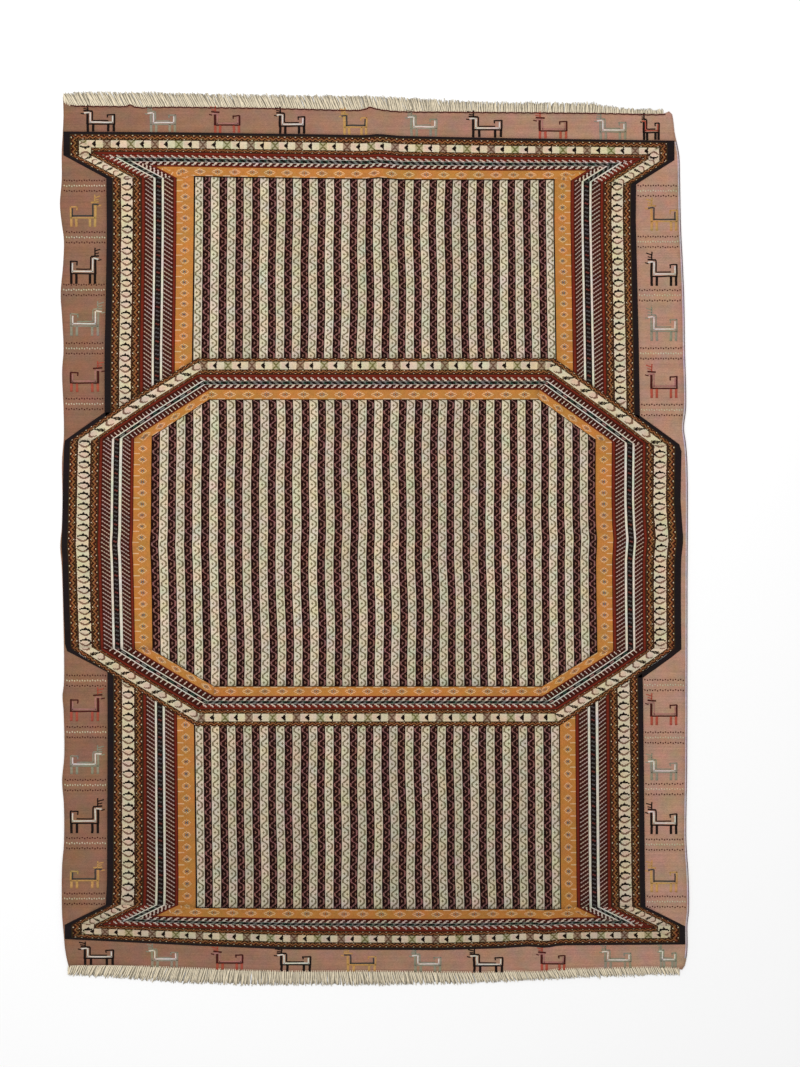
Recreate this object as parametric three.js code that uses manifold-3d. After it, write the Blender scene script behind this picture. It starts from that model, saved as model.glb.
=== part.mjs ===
// A flat-woven Persian carpet, lying face up and flat, with its warp fringe at both ends.
// Millimetres. +X runs to the right of the face, +Y to its top end and +Z up out of the face.
// The origin is under the middle of the carpet, on the surface it lies on.
import * as THREE from 'three';
import { mergeVertices } from 'three/addons/utils/BufferGeometryUtils.js';
import Module from 'manifold-3d';

// Driving dimensions
const GROUND_THICKNESS = 3.0; // plain weave of the brown edge strips
const WRAPPED_THICKNESS = 4.2; // weft-wrapped weave of the patterned middle, which stands prouder
const WRAPPED_START = 1.0; // where the patterned middle begins inside the ground weave
const EDGE_STEP = 12; // spacing of the points along a woven edge
const PIECE_GAP = 0.35; // between the woven edge and the heading strip of a fringe
const HEADING_WIDTH = 5.0; // the strip that a fringe's locks grow from
const LOCK_PITCH = 11.6; // from one lock of fringe to the next
const LOCK_ROOT_WIDTH = 7.4;
const LOCK_TIP_WIDTH = 5.6;
const LOCK_ROOT_THICKNESS = 2.6;
const LOCK_TIP_THICKNESS = 1.5;
const LOCK_LEAST_LENGTH = 3.0; // where the fringe is worn away
const LOCK_BEND = 0.35; // share of a lock's lean that is taken up in its first half
const LOCK_UNEVENNESS = 2.2; // how far a lock's tip falls short of the fringe's reach, or passes it
const UNEVEN_TURNS = [2.4, 0.9]; // angles in radians from lock to lock of the two waves that mix the lengths
const WELD_DISTANCE = 1e-4; // points nearer than this are one point

// The four woven edges, each a row of places that it passes through, from its first corner to its last.
const LEFT_EDGE = [
  { x: -871, y: 1226 }, { x: -870, y: 1186 }, { x: -872, y: 1136 }, { x: -875, y: 1083 },
  { x: -875, y: 1004 }, { x: -880, y: 937 }, { x: -876, y: 890 }, { x: -869, y: 836 },
  { x: -871, y: 769 }, { x: -878, y: 685 }, { x: -874, y: 618 }, { x: -870, y: 528 },
  { x: -874, y: 467 }, { x: -870, y: 366 }, { x: -869, y: 288 }, { x: -874, y: 220 },
  { x: -873, y: 108 }, { x: -875, y: 30 }, { x: -879, y: -20 }, { x: -875, y: -76 },
  { x: -871, y: -205 }, { x: -869, y: -407 }, { x: -873, y: -440 }, { x: -870, y: -480 },
  { x: -868, y: -608 }, { x: -874, y: -678 }, { x: -869, y: -743 }, { x: -869, y: -855 },
  { x: -874, y: -916 }, { x: -874, y: -1051 }, { x: -869, y: -1112 }, { x: -866, y: -1146 },
  { x: -860, y: -1180 }, { x: -855, y: -1199 },
];
const RIGHT_EDGE = [
  { x: 833, y: 1188 }, { x: 836, y: 1172 }, { x: 840, y: 1136 }, { x: 847, y: 1105 },
  { x: 853, y: 1072 }, { x: 855, y: 1004 }, { x: 858, y: 870 }, { x: 863, y: 769 },
  { x: 867, y: 668 }, { x: 869, y: 534 }, { x: 872, y: 366 }, { x: 866, y: 310 },
  { x: 872, y: 265 }, { x: 876, y: 198 }, { x: 876, y: -172 }, { x: 875, y: -642 },
  { x: 873, y: -844 }, { x: 879, y: -944 }, { x: 880, y: -1045 }, { x: 876, y: -1079 },
  { x: 876, y: -1146 }, { x: 872, y: -1180 }, { x: 867, y: -1199 }, { x: 861, y: -1206 },
];
const TOP_EDGE = [
  { x: -871, y: 1226 }, { x: -864, y: 1220 }, { x: -852, y: 1215 }, { x: -830, y: 1213 },
  { x: -729, y: 1212 }, { x: -696, y: 1212 }, { x: -684, y: 1217 }, { x: -668, y: 1210 },
  { x: -572, y: 1210 }, { x: -488, y: 1209 }, { x: -326, y: 1207 }, { x: -192, y: 1204 },
  { x: -57, y: 1201 }, { x: -29, y: 1203 }, { x: -14, y: 1210 }, { x: 10, y: 1204 },
  { x: 60, y: 1198 }, { x: 212, y: 1196 }, { x: 480, y: 1194 }, { x: 660, y: 1192 },
  { x: 786, y: 1189 }, { x: 814, y: 1191 }, { x: 822, y: 1197 }, { x: 833, y: 1188 },
];
const BOTTOM_EDGE = [
  { x: -855, y: -1199 }, { x: -847, y: -1195 }, { x: -796, y: -1194 }, { x: -712, y: -1194 },
  { x: -640, y: -1198 }, { x: -460, y: -1205 }, { x: -371, y: -1209 }, { x: -236, y: -1212 },
  { x: -12, y: -1212 }, { x: 301, y: -1215 }, { x: 394, y: -1212 }, { x: 450, y: -1214 },
  { x: 478, y: -1212 }, { x: 506, y: -1207 }, { x: 615, y: -1204 }, { x: 704, y: -1202 },
  { x: 800, y: -1201 }, { x: 844, y: -1203 }, { x: 861, y: -1206 },
];

// The outer side of the dark blue line round the patterned middle, clockwise from the top left corner.
const PATTERN_OUTLINE = [
  { x: -870, y: 1133 }, { x: -866, y: 1137 }, { x: -684, y: 1138 }, { x: -192, y: 1132 },
  { x: -24, y: 1129 }, { x: 10, y: 1133 }, { x: 72, y: 1127 }, { x: 352, y: 1121 },
  { x: 819, y: 1114 }, { x: 841, y: 1106 }, { x: 839, y: 1059 }, { x: 732, y: 992 },
  { x: 731, y: 850 }, { x: 739, y: 556 }, { x: 744, y: 344 }, { x: 857, y: 258 },
  { x: 860, y: 234 }, { x: 857, y: -306 }, { x: 753, y: -389 }, { x: 756, y: -872 },
  { x: 759, y: -1030 }, { x: 870, y: -1084 }, { x: 870, y: -1129 }, { x: 858, y: -1134 },
  { x: 632, y: -1137 }, { x: 520, y: -1138 }, { x: 478, y: -1145 }, { x: 436, y: -1140 },
  { x: 184, y: -1151 }, { x: -236, y: -1149 }, { x: -488, y: -1139 }, { x: -858, y: -1124 },
  { x: -867, y: -1115 }, { x: -867, y: -1080 }, { x: -752, y: -1024 }, { x: -746, y: -928 },
  { x: -746, y: -373 }, { x: -864, y: -306 }, { x: -867, y: -191 }, { x: -874, y: -20 },
  { x: -869, y: 164 }, { x: -866, y: 274 }, { x: -755, y: 353 }, { x: -755, y: 556 },
  { x: -749, y: 948 }, { x: -750, y: 1009 }, { x: -870, y: 1073 },
];

// How far each fringe reaches, with the worn and missing stretches, and how its locks lean:
// lean is the sideways run of a lock for each millimetre of its length.
const TOP_FRINGE = [
  { x: -870, reach: 1244, lean: -0.2 }, { x: -860, reach: 1251, lean: -0.3 },
  { x: -808, reach: 1252, lean: -0.35 }, { x: -774, reach: 1247, lean: -0.4 },
  { x: -712, reach: 1247, lean: -0.45 }, { x: -614, reach: 1238, lean: -0.45 },
  { x: -192, reach: 1240, lean: -0.3 }, { x: -102, reach: 1235, lean: -0.2 },
  { x: 167, reach: 1234, lean: -0.25 }, { x: 256, reach: 1229, lean: -0.2 },
  { x: 480, reach: 1223, lean: -0.1 }, { x: 500, reach: 1207, lean: 0 },
  { x: 531, reach: 1207, lean: 0 }, { x: 576, reach: 1222, lean: 0 },
  { x: 665, reach: 1221, lean: 0 }, { x: 704, reach: 1206, lean: 0 },
  { x: 732, reach: 1209, lean: 0 }, { x: 760, reach: 1201, lean: 0 },
  { x: 786, reach: 1203, lean: 0 }, { x: 812, reach: 1200, lean: 0 },
];
const BOTTOM_FRINGE = [
  { x: -853, reach: -1213, lean: -0.6 }, { x: -838, reach: -1228, lean: -0.6 },
  { x: -735, reach: -1231, lean: -0.5 }, { x: -586, reach: -1236, lean: -0.3 },
  { x: -371, reach: -1246, lean: 0 }, { x: -315, reach: -1251, lean: 0.1 },
  { x: -57, reach: -1251, lean: 0.25 }, { x: -12, reach: -1246, lean: 0.3 },
  { x: 408, reach: -1245, lean: 0.4 }, { x: 430, reach: -1236, lean: 0.4 },
  { x: 525, reach: -1231, lean: 0.4 }, { x: 576, reach: -1233, lean: 0.3 },
  { x: 615, reach: -1221, lean: 0.3 }, { x: 660, reach: -1220, lean: 0.3 },
  { x: 744, reach: -1227, lean: 0.3 }, { x: 786, reach: -1220, lean: 0.3 },
  { x: 856, reach: -1214, lean: 0.2 },
];

const wasm = await Module();
wasm.setup();

// A smooth line through a row of places, as points about a step apart.
function smoothLine(places, step) {
  const corners = places.map(({ x, y }) => new THREE.Vector3(x, y, 0));
  const curve = new THREE.CatmullRomCurve3(corners, false, 'centripetal');
  const count = Math.round(curve.getLength() / step);
  return curve.getSpacedPoints(count).map(({ x, y }) => new THREE.Vector2(x, y));
}

// The value of one column of a table at a place between its rows.
function between(rows, x, column) {
  const last = rows.length - 1;
  if (x <= rows[0].x) return rows[0][column];
  if (x >= rows[last].x) return rows[last][column];
  const after = rows.findIndex((row) => row.x > x);
  const a = rows[after - 1];
  const b = rows[after];
  return THREE.MathUtils.mapLinear(x, a.x, b.x, a[column], b[column]);
}

// A flat outline made into a solid between two heights.
function slab(outline, bottom, top) {
  const shape = new THREE.Shape(outline);
  const geometry = new THREE.ExtrudeGeometry(shape, { depth: top - bottom, bevelEnabled: false });
  geometry.translate(0, 0, bottom);
  return geometry;
}

function toSolid(geometry) {
  geometry.deleteAttribute('normal');
  geometry.deleteAttribute('uv');
  const merged = mergeVertices(geometry, WELD_DISTANCE);
  const vertProperties = new Float32Array(merged.attributes.position.array);
  const triVerts = new Uint32Array(merged.index.array);
  return new wasm.Manifold(new wasm.Mesh({ numProp: 3, vertProperties, triVerts }));
}

function toGeometry(solid) {
  const { vertProperties, triVerts } = solid.getMesh();
  const geometry = new THREE.BufferGeometry();
  geometry.setAttribute('position', new THREE.BufferAttribute(vertProperties, 3));
  geometry.setIndex(new THREE.BufferAttribute(triVerts, 1));
  geometry.computeVertexNormals();
  return geometry;
}

const topLine = smoothLine(TOP_EDGE, EDGE_STEP);
const bottomLine = smoothLine(BOTTOM_EDGE, EDGE_STEP);

// The woven cloth: the plain ground over the whole outline, and the thicker patterned middle joined to it.
function clothGeometry() {
  const rightLine = smoothLine(RIGHT_EDGE, EDGE_STEP);
  const leftLine = smoothLine(LEFT_EDGE, EDGE_STEP);
  const outline = [
    ...topLine.slice(0, -1),
    ...rightLine.slice(0, -1),
    ...bottomLine.slice().reverse().slice(0, -1),
    ...leftLine.slice().reverse().slice(0, -1),
  ];
  const ground = toSolid(slab(outline, 0, GROUND_THICKNESS));
  const pattern = PATTERN_OUTLINE.map(({ x, y }) => new THREE.Vector2(x, y));
  const middle = toSolid(slab(pattern, WRAPPED_START, WRAPPED_THICKNESS));
  return toGeometry(ground.add(middle));
}

// One fringe seen from above: the heading strip follows the woven edge a hair outside it, and from its outer
// side the locks run out, each bent once and leaning as its table says. side is 1 at the top end and -1 at
// the bottom end.
function fringeOutline(edge, table, side) {
  const first = table[0].x;
  const last = table[table.length - 1].x;
  const inside = edge.filter(({ x }) => x > first && x < last);
  const inner = inside.map(({ x, y }) => new THREE.Vector2(x, y + side * PIECE_GAP));
  const rootAt = (x) => between(edge, x, 'y') + side * (PIECE_GAP + HEADING_WIDTH);
  const innerAt = (x) => between(edge, x, 'y') + side * PIECE_GAP;
  const count = Math.floor((last - first) / LOCK_PITCH);
  const start = first + (last - first - count * LOCK_PITCH) / 2;
  const outer = [];
  for (let lock = 0; lock < count; lock += 1) {
    const x = start + (lock + 0.5) * LOCK_PITCH;
    const root = rootAt(x);
    const uneven = LOCK_UNEVENNESS * Math.sin(lock * UNEVEN_TURNS[0]) * Math.sin(lock * UNEVEN_TURNS[1]);
    const length = Math.max(side * (between(table, x, 'reach') - root) + uneven, LOCK_LEAST_LENGTH);
    const lean = between(table, x, 'lean') * length;
    const middleX = x + lean * LOCK_BEND;
    const middleY = root + side * length * 0.5;
    const tipX = x + lean;
    const tipY = root + side * length;
    const middleWidth = (LOCK_ROOT_WIDTH + LOCK_TIP_WIDTH) / 2;
    outer.push(
      new THREE.Vector2(x - LOCK_ROOT_WIDTH / 2, rootAt(x - LOCK_ROOT_WIDTH / 2)),
      new THREE.Vector2(middleX - middleWidth / 2, middleY),
      new THREE.Vector2(tipX - LOCK_TIP_WIDTH / 2, tipY),
      new THREE.Vector2(tipX + LOCK_TIP_WIDTH / 2, tipY),
      new THREE.Vector2(middleX + middleWidth / 2, middleY),
      new THREE.Vector2(x + LOCK_ROOT_WIDTH / 2, rootAt(x + LOCK_ROOT_WIDTH / 2)),
    );
  }
  const ends = [new THREE.Vector2(first, innerAt(first)), new THREE.Vector2(last, innerAt(last))];
  return [ends[0], ...inner, ends[1], ...outer.reverse()];
}

// A fringe as a solid that lies level on the floor, its locks thinning towards their tips.
function fringeGeometry(edge, table, side) {
  const geometry = slab(fringeOutline(edge, table, side), 0, LOCK_ROOT_THICKNESS);
  const position = geometry.attributes.position;
  for (let index = 0; index < position.count; index += 1) {
    if (position.getZ(index) > 0) {
      const x = position.getX(index);
      const out = side * (position.getY(index) - between(edge, x, 'y')) - HEADING_WIDTH;
      const full = side * (between(table, x, 'reach') - between(edge, x, 'y')) - HEADING_WIDTH;
      const share = THREE.MathUtils.clamp(out / full, 0, 1);
      position.setZ(index, THREE.MathUtils.lerp(LOCK_ROOT_THICKNESS, LOCK_TIP_THICKNESS, share));
    }
  }
  geometry.computeVertexNormals();
  return geometry;
}

// Wool of the cloth, seen as its brown ground, and undyed cotton of the warp.
const wool = new THREE.MeshStandardMaterial({ color: 0x96685a, roughness: 0.95, metalness: 0 });
const cotton = new THREE.MeshStandardMaterial({ color: 0xd8cdb4, roughness: 0.95, metalness: 0 });

const carpet = new THREE.Group();

function addPiece(name, geometry, material) {
  const mesh = new THREE.Mesh(geometry, material.clone());
  mesh.name = name;
  carpet.add(mesh);
}

addPiece('carpet_cloth', clothGeometry(), wool);
addPiece('fringe_top', fringeGeometry(topLine, TOP_FRINGE, 1), cotton);
addPiece('fringe_bottom', fringeGeometry(bottomLine, BOTTOM_FRINGE, -1), cotton);

export default carpet;
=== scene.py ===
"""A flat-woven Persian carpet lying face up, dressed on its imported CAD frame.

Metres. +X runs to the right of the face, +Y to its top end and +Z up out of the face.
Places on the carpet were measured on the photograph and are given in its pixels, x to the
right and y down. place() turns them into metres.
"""

import math

import bpy
import numpy as np
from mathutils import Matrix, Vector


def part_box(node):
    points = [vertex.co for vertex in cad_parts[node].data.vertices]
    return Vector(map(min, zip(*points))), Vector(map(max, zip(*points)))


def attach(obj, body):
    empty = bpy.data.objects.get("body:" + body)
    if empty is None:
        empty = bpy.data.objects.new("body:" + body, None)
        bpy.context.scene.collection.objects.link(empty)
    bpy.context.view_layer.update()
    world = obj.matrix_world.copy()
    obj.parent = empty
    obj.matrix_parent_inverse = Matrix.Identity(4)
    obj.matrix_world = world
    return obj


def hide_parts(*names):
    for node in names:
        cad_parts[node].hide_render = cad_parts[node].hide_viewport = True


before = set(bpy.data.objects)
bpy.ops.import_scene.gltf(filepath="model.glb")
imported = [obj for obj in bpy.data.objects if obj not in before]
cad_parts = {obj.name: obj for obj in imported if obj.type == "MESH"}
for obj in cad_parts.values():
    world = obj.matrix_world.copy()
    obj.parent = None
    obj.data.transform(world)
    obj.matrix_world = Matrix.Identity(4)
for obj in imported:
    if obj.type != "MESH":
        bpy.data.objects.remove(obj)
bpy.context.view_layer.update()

# Sizes, in metres unless the comment says otherwise
PIXEL = 0.0028  # of the carpet, for one pixel of the photograph
MIDDLE = np.array([374.4, 538.7])  # pixel of the carpet's middle
PHOTO_SIZE = (800, 1067)  # pixels
CAMERA_HEIGHT = 5.0
SENSOR = 36.0  # millimetres, the long side
FLOOR_HALF = 6.0
FLOOR_DROP = 0.0005  # of the floor below the carpet's underside
GROUND_TOP = 0.0030  # plain weave of the brown strips
BORDER_TOP = 0.0040  # wrapped weave of the two end borders
MEDALLION_TOP = 0.0042
FIELD_TOP = 0.0038
BORDER_LIFT = 0.00004  # undersides off z = 0, so that no two regions lie in one plane
FIELD_LIFT = 0.00006
NAVY_LIFT = 0.00003
GROOVE = 0.00035  # depth of the seam between two bands
GROOVE_SHARE = 0.14  # of a band's width that slopes down into each seam
CUTS = (0.0, GROOVE_SHARE, 1 - GROOVE_SHARE, 1.0)  # lines of a band, as shares of its width
STEP = 0.02  # spacing of the rows of faces along a band
TUCK = 0.0015 / PIXEL  # pixels that one region runs in under the higher one beside it
CORNER_CLEAR = 0.5  # pixels from a corner within which a run's own rows are left out
HIT_MARGIN = 0.01  # pixels by which a band line may meet an outline past the end of one of its parts
WEAVE_START = 100  # repeats added to a band's weave coordinate, which keep it above zero
WEAVE_END = 1000  # where it is counted back from on a band that is turned
FIELD_START = 40  # repeats added in the same way in the fields
SMALLEST_FACE = 1e-9  # square metres
YARN_HEIGHT = 0.0006  # of a single yarn above the brown strips
YARN_ROOT = 0.0008  # of it below their top
ROW_PITCH = 0.0017  # from one weft row to the next
WRAP_PITCH = 0.0026  # from one wrap of yarn to the next along a row
WOOL = (WRAP_PITCH, ROW_PITCH)
PLAIN_WOOL = (0.0030, 0.0012)  # the same two on the brown strips
UP_MAP = (0.69, 0.005)  # width and start, in the map for baked colour, of the faces that look up
SIDE_MAP = (0.28, 0.71)  # the same of all other faces
MAP_HEIGHT = (0.99, 0.005)
LOOKS_UP = 0.3  # least upward part of such a face's normal
SEED = 7
X, Y = 0, 1  # columns of a place

# Yarns, as sRGB, by the letter that the charts use for them
YARNS = {
    "k": "#1a0d0a",  # black-brown outline wool
    "n": "#201819",  # dark navy
    "c": "#dccbac",  # cream
    "i": "#d9bfa6",  # pinkish cream
    "w": "#d3bdac",  # pale rose white
    "e": "#cdc6ab",  # greenish white
    "o": "#c07f3e",  # orange
    "x": "#dcb184",  # pale apricot outline
    "r": "#712617",  # madder red
    "m": "#40160d",  # dark maroon
    "b": "#34160b",  # dark red-brown
    "u": "#834527",  # rust
    "g": "#976b3f",  # gold
    "t": "#776850",  # taupe
    "a": "#3f2e19",  # dark olive
    "s": "#706f68",  # slate grey
    "p": "#8d625b",  # dusty rose
    "j": "#2a4336",  # dark green
    "d": "#9a8a5e",  # straw
    "y": "#7c5c4a",  # walnut brown
}

# Charts of the bands. A letter is a yarn. In the charts of upright bands a line is one weft row and
# runs from the outer side to the field side; in those of level bands the first line is the outer one.
FIGURES = (
    "mccccccckccccccm",
    "mcccccckkkcccccm",
    "mccckkkkkkkkkccm",
    "mckkkkkkkkkkkkcm",
    "mckkccccccckkkcm",
    "mcccciiiiiicckkm",
    "myyciiiiiiicckkm",
    "mcyyyciiiicckkkm",
    "mccyyyycccyyykcm",
    "mcccyyyyyyyyyccm",
    "mcccccyyyyyccccm",
    "mccccccccccccccm",
    "mccccccccccccccm",
)
ARROWHEADS = (
    "cccccccyyttttyycccccccck",
    "ccccccctyyttyytciiiicckk",
    "cccccccttyyyyttciiiickkk",
    "ccccccctttyytttciiiikkkk",
)
ARROWHEADS += ARROWHEADS[::-1]
TWO_ARROWHEADS = tuple(row + row.replace("y", "d").replace("t", "e") for row in ARROWHEADS)
SLANTED = (
    "ccccyyyccccckkcccccccccc",
    "cccyyyiiiiicckkkcccccccc",
    "ccyyyiiiiiiicckkkkcccccc",
    "ccyyyiiiiiiiicckttkkcccc",
    "cccyyyiiiiiiicckkttkkccc",
    "ccccyyyyiiiiicccckkkkttc",
    "cccccccyyyyccccccckkkttc",
    "ccccccccccccccccccccttcc",
)
VINE = (
    "abugbbba", "abbugbga", "abbbugba", "agbbugba", "abbugbba", "abugbbga",
    "abugbbba", "abbugbba", "acbbugba", "agbbugba", "abbugbba", "abugbbba",
    "abugbbga", "abbugbba", "agbbugba", "acbbugba", "abbugbca", "abugbgba",
)
BARBER = (
    "wwmmmmmmmwwm", "mwwmmmmmmmww", "mmmwwmmmmmmm",
    "mmmmwwmmmmmm", "mmmmmmwwmmmm", "mmmmmmmwwmmm",
)
BARBS_OUT = ("wwrrrrrr", "mwwwrrrr", "mmmwwwmm")
BARBS_IN = ("mmmwwwmm", "mmwwwmmm", "wwwmmmmm")
TICKS = ("mmmmmmmm", "wmmmmmmm", "wwmmmmmm", "mwmmmmmm", "mwwmmmmm")
DASH = tuple(
    row.replace("s", yarn)
    for yarn in "sssp"
    for row in ("kkkkkk", "ksskkk", "kssssk", "kkkssk", "kkkkkk", "kkkkkk")
)
DASH_LEVEL = tuple(
    "".join(row.replace("s", yarn) for yarn in "ssj")
    for row in ("kkkksss", "skkkkss", "sskkkks", "ssskkkk")
)
DASH_SLOPE = ("k" * 27,) + 2 * ("jjjjjkkkksssssskkkpppppkkkk",) + ("k" * 27,)
LOZENGE = (
    "ooooooooooooooooo",
    "ooooooooxoooooooo",
    "ooooooxxoxxoooooo",
    "oooooxososoxooooo",
    "ooooxoosrsooxoooo",
)
LOZENGES = LOZENGE + LOZENGE[3::-1] + ("xxxxxxooooooooooo", LOZENGE[0])
LOZENGES_LEVEL = LOZENGE[:3] + (
    "ooooxxososoxxoooo",
    "oooxoosorosooxooo",
    "ooooxxososoxxoooo",
) + LOZENGE[2:0:-1] + ("xxxxooooooooooxxx",)
MEANDER = (
    "cccdcccttc",
    "ccdddccttc",
    "cccdcccttc",
    "cccccctttc",
    "ccccctttcc",
    "ccctttcccc",
    "cctttccccc",
    "cttccccdcc",
    "cttcccdddc",
    "cttccccdcc",
    "ctttcccccc",
    "ccctttcccc",
    "ccccctttcc",
    "cccccctttc",
)
THIN_MEANDER = tuple(row.replace("ttt", "ctt").replace("ddd", "cdd") for row in MEANDER)

# The bands of a border from its outer side to the field
BANDS = (
    "navy", "outer vine", "motif", "inner vine", "red", "outer barber", "outer line",
    "dash", "inner line", "inner barber", "inner red", "orange", "edge",
)

# Widths of those bands in pixels, along each run of a border
WIDTHS = {
    "upper left": (6.0, 7.9, 12.8, 8.0, 4.0, 8.0, 2.5, 5.8, 2.5, 8.9, 3.6, 17.0, 1.6),
    "upper right": (5.2, 7.2, 12.6, 7.2, 3.6, 8.4, 2.4, 5.6, 2.4, 6.6, 4.2, 15.8, 1.3),
    "top": (2.3, 6.1, 7.3, 4.0, 3.3, 2.6, 0.3, 3.4, 0.3, 3.2, 1.7, 9.1, 1.3),
    "medallion left": (5.6, 8.0, 14.2, 7.9, 3.7, 8.7, 2.7, 5.2, 3.2, 8.2, 3.6, 17.5, 0.7),
    "medallion right": (6.2, 7.9, 14.0, 7.4, 3.6, 7.6, 2.4, 5.2, 2.7, 8.7, 4.0, 15.9, 0.7),
    "medallion top": (0.0, 3.7, 7.7, 4.9, 3.1, 3.6, 0.2, 3.2, 0.2, 3.4, 1.8, 9.6, 0.7),
    "medallion bottom": (0.0, 5.1, 7.6, 4.2, 2.2, 3.5, 0.2, 2.8, 0.2, 3.3, 1.4, 9.2, 0.7),
    "slope": (0.0, 4.6, 7.8, 2.6, 2.6, 5.0, 1.2, 2.8, 1.2, 5.4, 1.4, 8.1, 0.5),
    "lower left": (6.1, 8.1, 14.0, 8.0, 4.0, 8.2, 2.5, 5.5, 2.7, 8.8, 3.6, 17.0, 1.6),
    "lower right": (5.0, 7.8, 13.5, 7.5, 4.0, 7.4, 3.1, 5.2, 2.8, 8.5, 4.0, 15.5, 1.2),
    "bottom": (2.2, 5.2, 6.8, 4.2, 2.2, 3.2, 0.2, 2.6, 0.2, 2.8, 1.6, 9.2, 1.0),
}

# Repeats of the charts in pixels, along one run or the upright runs of one region
REPEATING = ("motif", "barber", "dash", "orange")
REPEATS = {
    "upper": (10.7, 4.3, 17.2, 10.7),
    "medallion": (10.45, 4.2, 17.0, 11.1),
    "lower": (11.3, 4.3, 17.2, 12.2),
    "top": (48.0, 6.85, 20.5, 17.4),
    "medallion top": (48.2, 6.9, 20.7, 18.4),
    "medallion bottom": (47.6, 6.9, 20.7, 17.1),
    "bottom": (47.2, 6.9, 20.7, 18.6),
    "upper left slope": (20.5, 4.2, 24.0, 17.5),
    "upper right slope": (21.8, 4.2, 24.0, 17.5),
    "lower right slope": (16.3, 4.4, 24.0, 17.5),
    "lower left slope": (18.1, 5.4, 24.0, 17.5),
}
VINE_REPEAT = 16.9
PLAIN_REPEAT = 10.0
SHOULDER_MOTIF = 12.0  # of the slanted figures on the shoulders

# Where each run lies: rows of outer x, outer y, inner x, inner y in pixels. The outer side is the
# navy line's, or in the medallion the vine's, and the inner side is the field's. The uprights of the
# end borders run from shoulder to medallion, and the medallion's runs go round it clockwise.
RUNS = {
    "upper left": (
        (106.5, 178.5, 195.5, 178), (107.0, 230, 195.2, 230), (106.0, 300, 194.4, 300),
        (104.8, 350, 193.7, 350), (104.8, 430, 193.4, 430),
    ),
    "upper right": (
        (636, 184.5, 553.3, 180), (635.6, 220, 553.1, 220), (638.5, 340, 555, 340),
        (640, 430, 556.3, 430),
    ),
    "top": (
        (130, 132.3, 130, 177.1), (175, 132.6, 175, 177.3), (306, 134.4, 306, 179.3),
        (366, 135.5, 366, 180.0), (378, 134.1, 378, 178.6), (400, 136.2, 400, 180.6),
        (500, 138.3, 500, 180.8), (560, 139.2, 560, 180.3), (620, 140.1, 620, 180.3),
    ),
    "medallion left": (
        (71.0, 650, 153.2, 650), (69.1, 600, 152.6, 600), (68.2, 560, 151.6, 560),
        (67.2, 545, 150.6, 545), (67.9, 530, 151.6, 530), (69.0, 470, 152.0, 470),
        (70.0, 441, 152.4, 441),
    ),
    "upper left slope": ((84, 431.0, 139.5, 445.0), (132, 398.2, 167.5, 427.0), (192, 361.5, 214.7, 396.4)),
    "medallion top": ((198, 358.2, 198, 400.1), (554, 358.2, 554, 400.1)),
    "upper right slope": ((554, 358.2, 530, 393.7), (634, 414.7, 566, 419.2), (675, 446, 594, 439.0)),
    "medallion right": (
        (675.2, 446, 594.9, 446), (674.2, 500, 594.8, 500), (675.8, 525, 595.3, 525),
        (677.0, 540, 596.5, 540), (674.7, 560, 595.4, 560), (674.5, 600, 595.8, 600),
        (675.0, 650, 596.6, 650),
    ),
    "lower right slope": ((675, 648, 596, 652.5), (637, 675.5, 571.5, 667.6), (558, 726.5, 535, 690.2)),
    "medallion bottom": ((558, 726.3, 558, 685.9), (197, 726.3, 197, 685.9)),
    "lower left slope": ((197, 726.5, 220, 689.2), (113.5, 675.5, 175, 662.9), (71.5, 648.5, 153, 650.0)),
    "lower left": (
        (106.0, 904.5, 197.3, 905), (107.3, 880, 197.3, 880), (107.8, 730, 195.6, 730),
        (107.6, 660, 195.0, 660),
    ),
    "lower right": (
        (645.4, 906.5, 560, 907), (644.8, 880, 559.6, 880), (643.0, 700, 558.3, 700),
        (642.3, 660, 557.8, 660),
    ),
    "bottom": (
        (130, 942.0, 130, 905.9), (150, 943.0, 150, 906.2), (200, 945.5, 200, 907.0),
        (290, 949.1, 290, 907.9), (440, 949.8, 440, 908.6), (500, 948.0, 500, 908.3),
        (530, 946.0, 530, 908.2), (545, 947.8, 545, 909.2), (560, 945.1, 560, 908.2),
        (600, 944.8, 600, 907.6),
    ),
}

# The far end of the shoulder of each upright of the end borders, as one more such row
SHOULDER_ENDS = {
    "upper left": (63.6, 155.5, 152.6, 155),
    "upper right": (674, 160.5, 591.3, 156.0),
    "lower left": (64.9, 924.5, 156.2, 925),
    "lower right": (685, 926, 599.6, 926.5),
}

# Pixel x at which the four outermost band lines stop at each flared corner
FLARE_ENDS = {
    "upper left": (63.6, 70.0, 78.5, 92.0),
    "upper right": (674.3, 667.2, 659.7, 647.8),
    "lower left": (64.9, 71.7, 81.3, 95.0),
    "lower right": (685.0, 679.5, 671.0, 657.0),
}

# The three striped fields: number of stripes, pixels of one repeat of the meander, a pixel y where a
# repeat starts, how far the stripes bunch to the right as a share of the field's width, and the
# number of the first stripe's kind
FIELDS = {
    "upper": (45, 12.65, 190.0, 0.009, 1),
    "medallion": (55, 13.2, 443.6, 0.011, 0),
    "lower": (45, 13.7, 735.0, 0.0, 1),
}
STRIPES = ("dark stripe", "cream stripe")

# Sway of the stripes: pixels to each side, pixels of y to a radian, radians over the field's width
SWAYS = ((0.5, 17, 6), (0.4, 41, -11))
TONE_SPREAD = 0.08  # of a stripe, lighter or darker than the next


def place(points):
    """Pixels of the photograph as metres on the carpet, for an array that ends in x, y."""
    return (np.asarray(points, dtype=float) - MIDDLE) * np.array([PIXEL, -PIXEL])


def ordered(points, axis):
    """Places sorted along one axis."""
    return points[np.argsort(points[:, axis], kind="stable")]


def joined(lines, names, axis):
    """Some of the named lines as one row of places, sorted along an axis."""
    return ordered(np.concatenate([lines[name] for name in names]), axis)


def read_off(line, at, axis):
    """The other coordinate of a line of places, where its coordinate on the axis is as given."""
    return np.interp(at, line[:, axis], line[:, 1 - axis])


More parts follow.
